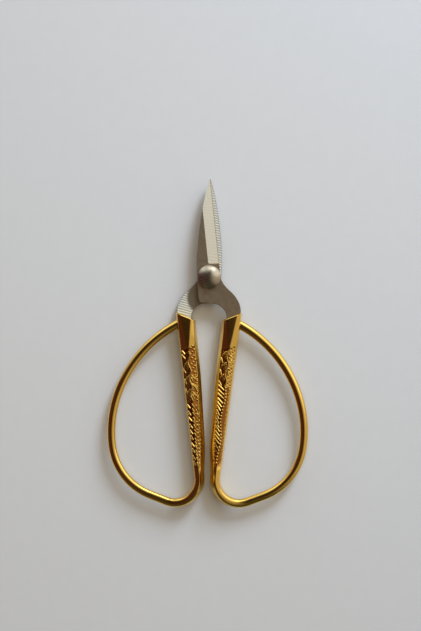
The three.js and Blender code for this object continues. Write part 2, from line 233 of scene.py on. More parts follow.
# Tone and metallic of the painted shadow
PAINTED_SHADOW_TONE = (0.34, 0.29, 0.22)
PAINTED_SHADOW_METALLIC = 0.85
tree = coarse_ground.node_tree
shader = tree.nodes["Principled BSDF"]
folded = tree.nodes.new("ShaderNodeVectorMath")
folded.operation = "ABSOLUTE"
tree.links.new(place_pattern(tree), folded.inputs[0])
away = tree.nodes.new("ShaderNodeVectorMath")
away.operation = "DISTANCE"
away.inputs[1].default_value = PAINTED_SHADOW_CENTRE
tree.links.new(folded.outputs["Vector"], away.inputs[0])
unshadowed = tree.nodes.new("ShaderNodeMapRange")
unshadowed.interpolation_type = "SMOOTHSTEP"
unshadowed.inputs["From Min"].default_value = PAINTED_SHADOW_RADIUS - PAINTED_SHADOW_FADE
unshadowed.inputs["From Max"].default_value = PAINTED_SHADOW_RADIUS + PAINTED_SHADOW_FADE
tree.links.new(away.outputs["Value"], unshadowed.inputs["Value"])
shadow_mix = tree.nodes.new("ShaderNodeMix")
shadow_mix.data_type = "RGBA"
shadow_mix.inputs["A"].default_value = (*PAINTED_SHADOW_TONE, 1)
tree.links.new(unshadowed.outputs["Result"], shadow_mix.inputs["Factor"])
tree.links.new(shader.inputs["Base Color"].links[0].from_socket, shadow_mix.inputs["B"])
tree.links.new(shadow_mix.outputs["Result"], shader.inputs["Base Color"])
shadow_metallic = spread(tree, unshadowed.outputs["Result"], PAINTED_SHADOW_METALLIC, COARSE_METALLIC)
tree.links.new(shadow_metallic, shader.inputs["Metallic"])
shadow_bump = spread(tree, unshadowed.outputs["Result"], 0.0, COARSE_BUMP)
tree.links.new(shadow_bump, tree.nodes["Bump"].inputs["Strength"])
print("ride of radius", PAINTED_SHADOW_RADIUS)

# %% Polished rivet steel
polished, tree, shader = metal("polished_steel", (0.50, 0.45, 0.36), 0.28, metallic=0.97)
wear = mottle(tree, place_pattern(tree), scale=1600, detail=5)
tree.links.new(spread(tree, wear, 0.25, 0.31), shader.inputs["Roughness"])
raised(tree, shader, wear, strength=0.02, depth=0.00004)
print("made", polished.name)

# %% [markdown]
# ## Blades
# A blade starts as a flat stamped blank: blade, round the rivet, and a hooked shank in one outline. A
# filled curve draws such a blank with few points, and its own bevel gives the slightly rolled edge that
# stamping leaves. Grinding then takes a long flat bevel off the outer face. A block that stands for the
# wheel is cut away with a Boolean modifier, which leaves the step where the wheel stopped.

# %% Blade sizes, in millimetres from the pivot
STOCK = 1.6  # thickness of the steel
FACE_GAP = 0.05  # between the two inner faces
INNER_FACE = FACE_GAP / 2
OUTER_FACE = INNER_FACE + STOCK
BLADE_LENGTH = 29.9  # pivot to tip
GRIND_START = 3.95  # where the bevel begins, ahead of the pivot
EDGE_OFFSET = 3.0  # cutting edge to the long axis, at the start of the bevel
SPINE_OFFSET = 3.8  # spine to the long axis, at the same place
BEVEL_WIDTH = 3.3
EDGE_LAND = 0.3  # steel left under the bevel at the edge
BORE_RADIUS = 1.5
ROLLED_EDGE = 0.10  # radius that stamping leaves on the edges

MOUTH = Vector((7.05, -11.9))  # middle of the ferrule's mouth
HEEL = Vector((2.45, -60.75))  # where the bar ends and the bow begins
MOUTH_SLOPE = math.tan(math.radians(27))  # the mouth is slanted, with its outer side higher
bar_axis = (HEEL - MOUTH).normalized()
bar_out = Vector((-bar_axis.y, bar_axis.x))
bar_length = (HEEL - MOUTH).length


def bar_point(depth, offset):
    """A point by its depth below the ferrule's mouth and its offset from the bar's axis."""
    return MOUTH + bar_axis * depth + bar_out * offset


def mouth_point(offset):
    """A point on the slanted line of the mouth."""
    return bar_point(-offset * MOUTH_SLOPE, offset)


# %% The blank's outline
PLATE_WAIST = (-3.45, -4.0)  # plate's free side, beside the rivet
PLATE_CORNER = (-2.75, -7.8)  # its lower corner
ARCH_START = (1.2, -8.1)  # where the arch between the shanks begins
SHOULDER = (6.5, -4.3)  # where the shank's outer line turns downwards
NECK = (3.3, 1.0)  # end of the edge side, beside the rivet
SHANK_OUT, SHANK_IN = 2.5, 1.6  # shank's sides to the bar's axis, along the mouth
SHANK_SUNK = 0.4  # how far the shank runs on into the ferrule
shank_outer = mouth_point(SHANK_OUT)
shank_inner = mouth_point(-SHANK_IN)

# Each stroke is the end of a line, or two handles and the end of a curve.
blank_start = Vector((0, BLADE_LENGTH))
blank_strokes = [
    [(-2.2, 23.5), (-SPINE_OFFSET, 11.95), (-SPINE_OFFSET, GRIND_START)],
    [PLATE_WAIST],
    [(-3.45, -5.3), (-3.2, -6.6), PLATE_CORNER],
    [ARCH_START],
    [(3.3, -8.1), shank_inner - bar_axis * 2.2, shank_inner],
    [shank_inner + bar_axis * SHANK_SUNK],
    [shank_outer + bar_axis * SHANK_SUNK],
    [shank_outer],
    [shank_outer - bar_axis * 2.8, (7.85, -5.4), SHOULDER],
    [(5.0, -3.1), (3.3, -1.1), NECK],
    [(EDGE_OFFSET, GRIND_START)],
    [blank_start],
]
print("blank outline of", len(blank_strokes), "strokes")


# %% Draw the blank as a filled curve
def draw_closed(curve, start, strokes):
    """Adds a closed spline of straight and curved strokes to a flat curve."""
    spline = curve.splines.new("BEZIER")
    spline.bezier_points.add(len(strokes) - 1)
    spline.use_cyclic_u = True
    points = spline.bezier_points
    here = Vector(start)
    points[0].co = (*here, 0)
    for index, stroke in enumerate(strokes):
        end = Vector(stroke[-1])
        leave = Vector(stroke[0]) if len(stroke) == 3 else here.lerp(end, 1 / 3)
        arrive = Vector(stroke[1]) if len(stroke) == 3 else here.lerp(end, 2 / 3)
        following = points[(index + 1) % len(strokes)]
        for point in (points[index], following):
            point.handle_left_type = point.handle_right_type = "FREE"
        following.co = (*end, 0)
        points[index].handle_right = (*leave, 0)
        following.handle_left = (*arrive, 0)
        here = end


CIRCLE_PULL = 0.5523  # handles of this share of the radius bend a stroke into a quarter circle


def circle_strokes(radius):
    """Four curved strokes that make a circle about the pivot."""
    pull = radius * CIRCLE_PULL
    corners = [Vector((radius, 0)), Vector((0, radius)), Vector((-radius, 0)), Vector((0, -radius))]
    turns = [Vector((0, pull)), Vector((-pull, 0)), Vector((0, -pull)), Vector((pull, 0))]
    return corners[0], [
        [corners[i] + turns[i], corners[(i + 1) % 4] - turns[(i + 1) % 4], corners[(i + 1) % 4]]
        for i in range(4)
    ]


def finished_mesh(thing):
    """The mesh of an object with its modifiers, after which the object is taken away."""
    view = bpy.context.evaluated_depsgraph_get()
    mesh = bpy.data.meshes.new_from_object(thing.evaluated_get(view))
    bpy.data.objects.remove(thing)
    return mesh


def add_temporary(name, data):
    """An object that is only there to be worked on."""
    thing = bpy.data.objects.new(name, data)
    bpy.context.scene.collection.objects.link(thing)
    return thing


def stamped_blank():
    """The blank with its bore, as a filled curve that is given the steel's thickness."""
    curve = bpy.data.curves.new("blank_outline", "CURVE")
    curve.dimensions = "2D"
    curve.fill_mode = "BOTH"
    curve.resolution_u = 32
    curve.extrude = STOCK / 2 - ROLLED_EDGE
    curve.bevel_depth = ROLLED_EDGE
    curve.bevel_resolution = 2
    curve.offset = -ROLLED_EDGE
    draw_closed(curve, blank_start, blank_strokes)
    draw_closed(curve, *circle_strokes(BORE_RADIUS))
    mesh = finished_mesh(add_temporary("blank_outline", curve))
    mesh.transform(Matrix.Translation((0, 0, (INNER_FACE + OUTER_FACE) / 2)))
    return mesh


blank = stamped_blank()
print("stamped blank:", len(blank.vertices), "points")

# %% Grind the bevel
WHEEL = 40.0  # side of the block that stands for the grinding wheel
RUNOUT = 0.8  # radius of the wheel's rim, which leaves a hollow lip
WELD = 0.0005  # distance within which doubled points are merged
edge_start = Vector((EDGE_OFFSET, GRIND_START, INNER_FACE + EDGE_LAND))
edge_run = (Vector((0, BLADE_LENGTH, INNER_FACE + EDGE_LAND)) - edge_start).normalized()
edge_inward = Vector((-edge_run.y, edge_run.x, 0))
bevel_across = (edge_inward * BEVEL_WIDTH + Vector((0, 0, STOCK - EDGE_LAND))).normalized()
bevel_normal = edge_run.cross(bevel_across)
if bevel_normal.z < 0:
    bevel_normal.negate()


def grinding_block():
    """A block whose lower face is the bevel and whose near end is the step where grinding stops."""
    block = bmesh.new()
    bmesh.ops.create_cube(block, size=WHEEL)
    rim = [edge for edge in block.edges if all(v.co.x < 0 and v.co.z < 0 for v in edge.verts)]
    bmesh.ops.bevel(
        block, geom=rim, offset=RUNOUT, offset_type="OFFSET", segments=8, profile=0.5,
        affect="EDGES", material=-1,
    )
    lie = Matrix((edge_run, bevel_across, bevel_normal)).transposed().to_4x4()
    corner = edge_start + edge_run * (WHEEL / 2) + bevel_normal * (WHEEL / 2)
    bmesh.ops.transform(block, matrix=Matrix.Translation(corner) @ lie, verts=block.verts)
    bmesh.ops.recalc_face_normals(block, faces=block.faces)
    mesh = bpy.data.meshes.new("grinding_block")
    block.to_mesh(mesh)
    block.free()
    return add_temporary("grinding_block", mesh)


def ground_blade():
    """The blank with the block's bevel taken off it."""
    wheel = grinding_block()
    work = add_temporary("ground_blank", blank)
    welded = bmesh.new()
    welded.from_mesh(blank)
    bmesh.ops.remove_doubles(welded, verts=welded.verts, dist=WELD)
    bmesh.ops.recalc_face_normals(welded, faces=welded.faces)
    welded.to_mesh(blank)
    welded.free()
    cut = work.modifiers.new("grind", "BOOLEAN")
    cut.operation = "DIFFERENCE"
    cut.solver = "EXACT"
    cut.object = wheel
    mesh = finished_mesh(work)
    bpy.data.objects.remove(wheel)
    return mesh


blade = ground_blade()
print("ground blade:", len(blade.vertices), "points")

# %% [markdown]
# A stone then takes the sharp corner off the cutting edge and leaves a narrow strip. The corner is found
# by its two faces: one belongs to the bevel, the other is the upright land that the grind left.

# %% Hone the cutting edge
HONED = 0.3  # width of the honed strip
ON_BEVEL = 0.995  # least cosine between a face of the bevel and the bevel's direction


def on_bevel(normal):
    return normal.dot(bevel_normal) > ON_BEVEL


def on_land(normal):
    """An upright face that looks to the side of the cutting edge."""
    return abs(normal.z) < 0.2 and normal.x > 0.9


def hone(mesh):
    """Takes the corner off the cutting edge, between the bevel and the land below it."""
    work = bmesh.new()
    work.from_mesh(mesh)
    corner = []
    for edge in work.edges:
        normals = [face.normal for face in edge.link_faces]
        if any(map(on_bevel, normals)) and any(map(on_land, normals)):
            corner.append(edge)
    bmesh.ops.bevel(
        work, geom=corner, offset=HONED, offset_type="WIDTH", segments=1, profile=0.5,
        affect="EDGES", material=-1,
    )
    work.to_mesh(mesh)
    work.free()
    print("honed", len(corner), "edges")


hone(blade)

# %% [markdown]
# Each face of the blade has its own finish, and the way it faces tells which: the bevel looks along one
# direction, the inner face looks straight down, and all other faces get the stamped look.

# %% Give each face of the blade its finish
STAMPED, BEVEL, INNER = 0, 1, 2
LOOKS_DOWN = -0.98  # height of a normal that counts as straight down
for face in blade.polygons:
    face.material_index = STAMPED
    if on_bevel(face.normal):
        face.material_index = BEVEL
    elif face.normal.z < LOOKS_DOWN:
        face.material_index = INNER
blade.shade_smooth()
blade.set_sharp_from_angle(angle=math.radians(14))

blade_finishes = [stamped, fine_ground, coarse_ground]
set_down(
    blade.copy(), "ground_front_blade", FRONT, blade_finishes, "front_half", "front_blade"
)
set_down(blade, "ground_back_blade", BACK, blade_finishes, "back_half", "back_blade")

# %% [markdown]
# ## Rivet and washer
# Both are turned pieces, so a profile spun about the pivot gives them whole. The head is a low dome on an
# upright band, and its foot is eased so that a thin dark line shows where it meets the blade.

# %% Rivet and washer profiles
SEAT_PLAY = 0.05  # under the head, and on each side of the washer
HEAD_RADIUS = 3.5
HEAD_FOOT = OUTER_FACE + SEAT_PLAY
HEAD_BAND = 0.70
HEAD_EASE = 0.12  # eased corner at the head's foot
DOME_HEIGHT = 1.30
RIVET_RADIUS = 1.45
WASHER_RADIUS = 2.7
WASHER_TOP = -OUTER_FACE - SEAT_PLAY
WASHER_THICK = 0.4
WASHER_CHAMFER = 0.1
TAIL_TOP = WASHER_TOP - WASHER_THICK - SEAT_PLAY
TAIL_RADIUS = 2.1
TAIL_HEIGHT = 0.5


def cap_profile(radius, foot, height, steps):
    """Profile of a round cap from its rim to its crown. A negative height hangs down."""
    ball = (radius * radius + height * height) / (2 * abs(height))
    lean = math.asin(radius / ball)
    turns = [lean * (1 - i / steps) for i in range(steps)]
    rise = math.copysign(1, height)
    points = [(ball * math.sin(t), foot + height - rise * ball * (1 - math.cos(t))) for t in turns]
    return points + [(0, foot + height)]


def spun(profile, steps=96, ring=False):
    """A profile of radius and height, spun about the pivot."""
    work = bmesh.new()
    verts = [work.verts.new((radius, 0, z)) for radius, z in profile]
    edges = [work.edges.new(pair) for pair in zip(verts, verts[1:])]
    if ring:
        edges.append(work.edges.new((verts[-1], verts[0])))
    bmesh.ops.spin(
        work, geom=verts + edges, cent=(0, 0, 0), axis=(0, 0, 1), dvec=(0, 0, 0),
        angle=2 * math.pi, steps=steps, use_merge=True,
    )
    bmesh.ops.remove_doubles(work, verts=work.verts, dist=WELD)
    bmesh.ops.recalc_face_normals(work, faces=work.faces)
    mesh = bpy.data.meshes.new("spun")
    work.to_mesh(mesh)
    work.free()
    mesh.shade_smooth()
    mesh.set_sharp_from_angle(angle=math.radians(32))
    return mesh


head = cap_profile(HEAD_RADIUS, HEAD_FOOT + HEAD_BAND, DOME_HEIGHT, steps=20)
tail = cap_profile(TAIL_RADIUS, TAIL_TOP, -TAIL_HEIGHT, steps=10)
rivet_profile = head[::-1] + [
    (HEAD_RADIUS, HEAD_FOOT + HEAD_EASE),
    (HEAD_RADIUS - HEAD_EASE, HEAD_FOOT),
    (RIVET_RADIUS, HEAD_FOOT),
    (RIVET_RADIUS, TAIL_TOP),
] + tail
washer_profile = [
    (BORE_RADIUS, WASHER_TOP),
    (WASHER_RADIUS, WASHER_TOP),
    (WASHER_RADIUS, WASHER_TOP - WASHER_THICK + WASHER_CHAMFER),
    (WASHER_RADIUS - WASHER_CHAMFER, WASHER_TOP - WASHER_THICK),
    (BORE_RADIUS, WASHER_TOP - WASHER_THICK),
]
set_down(spun(rivet_profile), "domed_rivet", FRONT, [polished], "back_half", "pivot_rivet")
set_down(
    spun(washer_profile, ring=True), "back_washer", FRONT, [polished], "back_half",
    "rivet_washer",
)

# %% [markdown]
# ## Handles
# A handle is one casting. It starts as a faceted bar with a slanted ferrule mouth and a triangular flat,
# carries relief on its sloping facets, and runs on at the heel as a round bow that comes back to the
# bar's own side. Sweeping a section along one long line is the natural way to make it. A grid is wrapped
# round that line: its rows are stations along the line and its columns go round the section, so one mesh
# can hold the facets, the relief and the bow.

# %% The handle's centre line
HEEL_RADIUS = 7.3
BOTTOM_RISE = math.radians(20.9)  # by which the bottom run climbs outwards
BOTTOM_RUN = 5.3
CORNER_RADIUS = 18.4
CORNER_HEADING = math.radians(81.4)  # where the corner ends
ROOT_DEPTH = 2.45  # the bow's return to the bar, below the mouth
ROOT_HEADING = math.radians(150)
ROOT_SINK = 1.6  # how deep the return is cast into the bar
SWEEP_EASE = 0.358  # ease of the upper sweep at both ends, per chord
BAR_WIDTH_MOUTH = 6.1
BAR_WIDTH_HEEL = 3.4
INNER_SWELL = 0.75  # by which the bar is fuller on the side of the other handle, halfway down
HEEL_SWELL = 0.05  # and at the heel
SWELL_RISE = 22  # length over which that fullness grows from the mouth
SWELL_FALL = 10  # and over which it fades to the heel
BOW_WIDTH_END = 2.65
BOW_WIDTH_MID = 2.5
HEEL_STEPS, RUN_STEPS, CORNER_STEPS, SWEEP_STEPS = 44, 16, 50, 90


def heading(angle):
    """A direction in the plane of the scissors by its angle from +X."""
    return Vector((math.cos(angle), math.sin(angle)))


def left_arc(start, turn_from, turn_to, radius, steps):
    """Points and headings of an arc that turns left, without its first point."""
    centre = start + radius * Vector((-math.sin(turn_from), math.cos(turn_from)))
    turns = [turn_from + (turn_to - turn_from) * (i + 1) / steps for i in range(steps)]
    return [(centre + radius * Vector((math.sin(t), -math.cos(t))), heading(t)) for t in turns]


def bar_half_width(depth):
    return (BAR_WIDTH_MOUTH + (BAR_WIDTH_HEEL - BAR_WIDTH_MOUTH) * depth / bar_length) / 2


def eased(share):
    """A share from 0 to 1 that starts and ends gently."""
    share = np.clip(share, 0.0, 1.0)
    return share * share * (3 - 2 * share)


def inner_swell(depth):
    """How much fuller the bar is on the side of the other handle, from nothing at the mouth on."""
    from_heel = eased((bar_length - depth) / SWELL_FALL)
    return eased(depth / SWELL_RISE) * (HEEL_SWELL + (INNER_SWELL - HEEL_SWELL) * from_heel)


bar_heading = math.atan2(bar_axis.y, bar_axis.x)
heel_line = left_arc(HEEL, bar_heading, BOTTOM_RISE, HEEL_RADIUS, HEEL_STEPS)
run_start = heel_line[-1][0]
run = heading(BOTTOM_RISE)
run_line = [(run_start + run * BOTTOM_RUN * i / RUN_STEPS, run) for i in range(1, RUN_STEPS + 1)]
corner_line = left_arc(run_line[-1][0], BOTTOM_RISE, CORNER_HEADING, CORNER_RADIUS, CORNER_STEPS)
sweep_start = corner_line[-1][0]
root = heading(ROOT_HEADING)
bow_end = bar_point(ROOT_DEPTH, bar_half_width(ROOT_DEPTH)) - root * BOW_WIDTH_END / 3
ease = (bow_end - sweep_start).length * SWEEP_EASE
sweep_points = interpolate_bezier(
    sweep_start,
    sweep_start + heading(CORNER_HEADING) * ease,
    bow_end - root * ease,
    bow_end,
    SWEEP_STEPS + 1,
)
sweep_line = []
for i in range(1, SWEEP_STEPS + 1):
    ahead = sweep_points[min(i + 1, SWEEP_STEPS)]
    sweep_line.append((sweep_points[i], (ahead - sweep_points[i - 1]).normalized()))
sink_line = [(bow_end + root * step, root) for step in (0.5, BOW_WIDTH_END / 3 + ROOT_SINK)]
print("bow ends at", [round(c, 2) for c in bow_end])

# %% [markdown]
# ## Relief on the bars
# The bars carry a traditional low relief. One face has leaves on a winding stem beside a field of grains,
# and below them a twisted cord of drops. The other has leaves beside a punched field, and below them a
# plume: a bent quill of small beads, with barbs on one side and a punched field on the other. Each motif
# is a rounded ridge along a line or about a point, so its height anywhere follows from the distance to it.
# The highest ridge wins, as in a mould that is cut with a small burr. Places are given as a distance along
# the relief in millimetres and a share of the facets' half width.

# %% Ridges for the relief
RELIEF_START = 8.3
RELIEF_LENGTH = 38.5
RELIEF_HEIGHT = 0.20
RELIEF_GROUND = -0.12  # the ground of the relief lies below the plain facet
RELIEF_ROWS = 410
FIELD_LEVEL = 0.375  # share of the relief's height at which it is level with the plain facet
HATCH_LEVEL = 0.36
HATCH_PITCH = 0.55
HATCH_ALONG, HATCH_ACROSS = 0.62, 0.78  # slant of the hatching
HATCH_LINE = 0.4  # half width of a line, as a share of the pitch
VEIN_DEPTH, VEIN_HALF = 0.45, 0.12
SHARE_LENGTH = 2  # about the length of a whole share of the facet
SOFT_BORDER = 0.3
OUTER_DRAFT = 0.5  # width of the plain side seen from above, on the bow's side
INNER_DRAFT_MOUTH = 0.7  # the same on the side of the other handle, at the mouth
INNER_DRAFT_HEEL = 1.1  # and at the heel
FACET_SHARE = 0.6  # share of the bar's fullness that the facet with the relief takes up


def side_drafts(depth):
    """Widths of the plain sides seen from above, on the bow's side and on the other handle's."""
    inner = INNER_DRAFT_MOUTH + (INNER_DRAFT_HEEL - INNER_DRAFT_MOUTH) * depth / bar_length
    return OUTER_DRAFT, inner - FACET_SHARE * inner_swell(depth)


def relief_half(u, share):
    """Half width of the relief at a distance along it, on the side that the sign of the share tells."""
    depth = RELIEF_START + u
    outer, inner = side_drafts(depth)
    return bar_half_width(depth) - np.where(np.asarray(share) > 0, outer, inner)


def rounded(distance, half_width):
    """Height from 0 to 1 of a round ridge of that half width."""
    return np.clip(1 - (distance / half_width) ** 2, 0, None)


class Relief:
    """Heights from 0 to 1 over a sheet of points, raised by one motif after another."""

    def __init__(self, u, t):
        self.u = u
        self.t = t
        self.height = np.zeros_like(u)

    def add(self, ridge):
        self.height = np.maximum(self.height, ridge)

    def place(self, u, share):
        return np.array((u, share * relief_half(u, share)))

    def bead(self, u, share, radius):
        at = self.place(u, share)
        self.add(rounded(np.hypot(self.u - at[0], self.t - at[1]), radius))

    def stroke(self, start, end, wide, narrow):
        """A straight ridge that tapers from one half width to another."""
        a = self.place(*start)
        run = self.place(*end) - a
        along = np.clip(((self.u - a[0]) * run[0] + (self.t - a[1]) * run[1]) / (run @ run), 0, 1)
        distance = np.hypot(self.u - a[0] - along * run[0], self.t - a[1] - along * run[1])
        self.add(rounded(distance, wide + (narrow - wide) * along))

    def leaf(self, start, end, half_width):
        """A ridge that is pointed at both ends, with a vein along it."""
        a = self.place(*start)
        run = self.place(*end) - a
        along = ((self.u - a[0]) * run[0] + (self.t - a[1]) * run[1]) / (run @ run)
        across = np.abs((self.u - a[0]) * run[1] - (self.t - a[1]) * run[0]) / np.hypot(*run)
        width = half_width * np.sin(math.pi * np.clip(along, 0.001, 0.999))
        self.add(rounded(across, width) * (1 - VEIN_DEPTH * rounded(across, VEIN_HALF)))

    def inside(self, first, last, near, far):
        """From 1 inside a patch to 0 outside it, with a soft border."""
        share = self.t / relief_half(self.u, self.t)
        low, high = min(near, far), max(near, far)
        gaps = (self.u - first, last - self.u, SHARE_LENGTH * (share - low), SHARE_LENGTH * (high - share))
        return np.clip(np.minimum.reduce(gaps) / SOFT_BORDER, 0, 1)

    def field(self, *patch):
        """A plain patch, level with the facet."""
        self.add(FIELD_LEVEL * self.inside(*patch))

    def hatch(self, hand, *patch):
        """Low slanting lines on the ground."""
        place = (HATCH_ALONG * self.u + hand * HATCH_ACROSS * self.t) / HATCH_PITCH
        line = rounded(np.abs(place - np.round(place)), HATCH_LINE)
        self.add(HATCH_LEVEL * line * self.inside(*patch))

    def punch(self, u, share, radius):
        """A round dent down to the ground."""
        at = self.place(u, share)
        self.height = self.height * (1 - rounded(np.hypot(self.u - at[0], self.t - at[1]), radius))

    def stem(self, share_at, first, last, half_width):
        """A ridge along a line whose offset, as a share of the facets, follows from the distance."""
        share = share_at(self.u)
        line = share * relief_half(self.u, share)
        steep = np.gradient(line[:, 0], self.u[:, 0])[:, None]
        ridge = rounded(np.abs(self.t - line) / np.hypot(1, steep), half_width)
        self.add(ridge * (self.u > first) * (self.u < last))


# %% Groups of motifs
GRAIN_PITCH = 0.62
PUNCH_PITCH = 0.5
NEVER_IN_STEP = 0.618


def scatter(index):
    """Shares from 0 to 1 that never fall into step."""
    return NEVER_IN_STEP * index % 1


def grains(relief, first, last, near, far):
    """A field of small grains between two shares of the facet."""
    for index, at in enumerate(np.arange(first, last, GRAIN_PITCH)):
        radius = 0.30 + 0.08 * scatter(3 * index)
        relief.bead(at, near + (far - near) * scatter(index), radius)


def punched(relief, first, last, near, far):
    """A plain field with small dents scattered over it."""
    relief.field(first, last, near, far)
    for index, at in enumerate(np.arange(first + 0.4, last - 0.3, PUNCH_PITCH)):
        share = near + (far - near) * (0.1 + 0.8 * scatter(index))
        relief.punch(at, share, 0.24 + 0.10 * scatter(3 * index))


def drops(relief, first, last, pitch, near, far, length, half_width):
    """A row of slanting drops between two shares of the facet."""
    for index, at in enumerate(np.arange(first, last, pitch)):
        start = at + 0.4 * scatter(index)
        reach = far + (near - far) * 0.35 * scatter(2 * index + 1)
        wide = half_width * (1 + 0.4 * scatter(4 * index + 2))
        relief.stroke((start, near), (start + length, reach), wide, 0.6 * wide)


def spray(relief, u, side):
    """Two leaves that leave the stem on one side."""
    relief.leaf((u, 0.08 * side), (u + 1.9, 0.86 * side), 0.42)
    relief.leaf((u + 0.5, 0.05 * side), (u + 2.7, 0.40 * side), 0.34)


# %% The two faces' relief
def winding(middle, swing, wave, start=0.0):
    """A line that winds about a share of the facet, with a given length of wave."""
    return lambda at: middle + swing * np.sin(2 * math.pi * (at - start) / wave)


def vine_relief(u, t):
    """Leaves beside a field of grains, then a twisted cord of drops."""
    relief = Relief(u, t)
    relief.hatch(1, 2.6, 18.2, 0.05, 0.95)
    relief.stem(winding(0.02, 0.16, wave=4.8), 2.4, 17.4, 0.28)
    drops(relief, 2.0, 4.2, pitch=1.15, near=0.90, far=0.40, length=1.2, half_width=0.22)
    for at in (5.4, 9.6, 13.8):
        spray(relief, at, 1)
    drops(relief, 7.6, 16.8, pitch=3.1, near=0.96, far=0.60, length=1.2, half_width=0.30)
    grains(relief, 0.2, 9.2, near=-0.22, far=-0.94)
    for at in (9.4, 12.0, 14.6):
        spray(relief, at, -1)
    grains(relief, 9.8, 17.6, near=-0.70, far=-0.95)
    drops(relief, 18.6, 36.6, pitch=1.9, near=0.95, far=0.42, length=1.0, half_width=0.33)
    drops(relief, 18.4, 36.8, pitch=1.25, near=0.10, far=-0.44, length=1.5, half_width=0.25)
    drops(relief, 19.0, 37.0, pitch=1.15, near=-0.56, far=-0.96, length=1.5, half_width=0.25)
    return relief.height * np.interp(u, (33, 37), (1, 0.8))


def plume_relief(u, t):
    """Leaves, then a bent quill of small beads with barbs on one side and a punched field on the other."""
    relief = Relief(u, t)
    quill = winding(0.10, 0.26, wave=13, start=13)
    punched(relief, 0.2, 13.4, near=0.12, far=1.0)
    relief.hatch(-1, 2.2, 13.2, -0.95, -0.05)
    relief.stem(winding(0.02, 0.14, wave=5.2), 1.6, 13.2, 0.28)
    for at in (2.2, 5.6, 9.0):
        spray(relief, at, -1)
    drops(relief, 4.6, 12.6, pitch=3.4, near=-0.95, far=-0.55, length=1.3, half_width=0.30)
    grains(relief, 3.2, 8.0, near=0.15, far=0.60)
    punched(relief, 13.4, 37.0, near=0.58, far=1.0)
    for at in np.arange(13.4, 36.4, 0.95):
        relief.bead(at, quill(at), 0.34)
    for index, at in enumerate(np.arange(12.8, 36.0, 1.25)):
        start = at + 0.3 * scatter(index)
        relief.stroke((start, -0.96), (start + 1.3, quill(start + 1.3) - 0.36), 0.40, 0.22)
    return relief.height * np.interp(u, (20, 34), (1, 0.6))


# %% [markdown]
# ## The section
# Going round the bar there is a drafted side, a sloping facet, and a flat that narrows to a ridge, four
# times over. The bar is fuller on the side of the other handle, so its inner quarters are wider than its
# outer ones. At the heel the same points slide over to the bow's section, which is close to an ellipse.
# Averaging each ring with its neighbours rolls the corners a little, as casting and polishing do.

# %% Sections as rings of points
BAR_THICK = 6.0
BOW_THICK = 2.0
BOW_RIDGE = 1.05  # 1 would be an ellipse, 2 a plain rhombus
SIDE_HEIGHT = 2.45  # top of the plain side, above the middle plane, at the ferrule
SIDE_DROP = 0.5  # by which it lies lower beside the relief
FLAT_WIDTH = 3.2  # the triangular flat, at the mouth
FLAT_LENGTH = 10.5  # its length down to the ridge
RIDGE_LAND = 0.3  # width of the ridge below it
MOUTH_CHAMFER = 0.35
SIDE_COLUMNS, FACET_COLUMNS, FLAT_COLUMNS = 8, 22, 4
QUARTER = SIDE_COLUMNS + FACET_COLUMNS + FLAT_COLUMNS
COLUMNS = 4 * QUARTER


def quarter_section(half, height, side, flat, draft, blend):
    """Points from the side to the middle of the top, facets blended into a soft ridge."""
    corners = [(half, 0), (half - draft, side), (flat, height), (0, height)]
    counts = [SIDE_COLUMNS, FACET_COLUMNS, FLAT_COLUMNS]
    facets = [np.linspace(a, b, n, endpoint=False) for a, b, n in zip(corners, corners[1:], counts)]
    facets = np.vstack(facets + [[corners[-1]]])
    turn = np.linspace(0, math.pi / 2, QUARTER + 1)
    soft = np.column_stack((half * np.cos(turn) ** BOW_RIDGE, height * np.sin(turn) ** BOW_RIDGE))
    return facets + (soft - facets) * blend


def whole_section(half, height, side, flat, drafts, swell, blend):
    """The ring of an outer and an inner quarter and their reflections, without a repeated last point."""
    outer = quarter_section(half, height, side, flat, drafts[0], blend)
    inner = quarter_section(half + swell, height, side, flat, drafts[1] + swell, blend)
    upper = np.vstack((outer, inner[-2::-1] * (-1, 1)))
    return np.vstack((upper, upper[-2:0:-1] * (1, -1)))


def roll_corners(ring, passes=2):
    """Each point drawn towards the middle of its neighbours."""
    for _ in range(passes):
        ring = ring / 2 + (np.roll(ring, 1, axis=0) + np.roll(ring, -1, axis=0)) / 4
    return ring


# %% Stations of the bar and the bow
SINK_IN, SINK_OUT = 5, 3  # lengths over which the bar sinks for the relief and rises again
MOUTH_STEPS, HEEL_END_STEPS = 30, 5
RELIEF_END = RELIEF_START + RELIEF_LENGTH


def bar_station(depth, scale=1.0):
    """A section of the bar, sunk a little where the relief will stand on it."""
    open_share = max(0.0, 1 - depth / FLAT_LENGTH)
    flat = (RIDGE_LAND + (FLAT_WIDTH - RIDGE_LAND) * open_share) / 2
    sunk = eased((depth - RELIEF_START + SINK_IN / 2) / SINK_IN) * eased((RELIEF_END - depth) / SINK_OUT)
    height = BAR_THICK / 2 - RELIEF_HEIGHT * sunk
    side = SIDE_HEIGHT - SIDE_DROP * sunk
    half = bar_half_width(depth)
    ring = roll_corners(whole_section(half, height, side, flat, side_drafts(depth), inner_swell(depth), 0))
    lean = -MOUTH_SLOPE * open_share
    return MOUTH + bar_axis * depth, bar_axis, ring * scale, lean


def bow_station(point, direction, width, blend=1.0):
    """A section of the bow, or of the heel, where the bar's section is blended into it."""
    half = (BAR_WIDTH_HEEL + (width - BAR_WIDTH_HEEL) * blend) / 2
    height = (BAR_THICK + (BOW_THICK - BAR_THICK) * blend) / 2
    drafts = side_drafts(bar_length)
    swell = HEEL_SWELL * (1 - blend)
    ring = roll_corners(whole_section(half, height, SIDE_HEIGHT, RIDGE_LAND / 2, drafts, swell, blend))
    return point, direction, ring, 0.0


def tapered(line, first, last):
    """Stations of the bow along a line on which its width goes from one value to another."""
    widths = [first + (last - first) * (i + 1) / len(line) for i in range(len(line))]
    return [bow_station(*place, width) for place, width in zip(line, widths)]


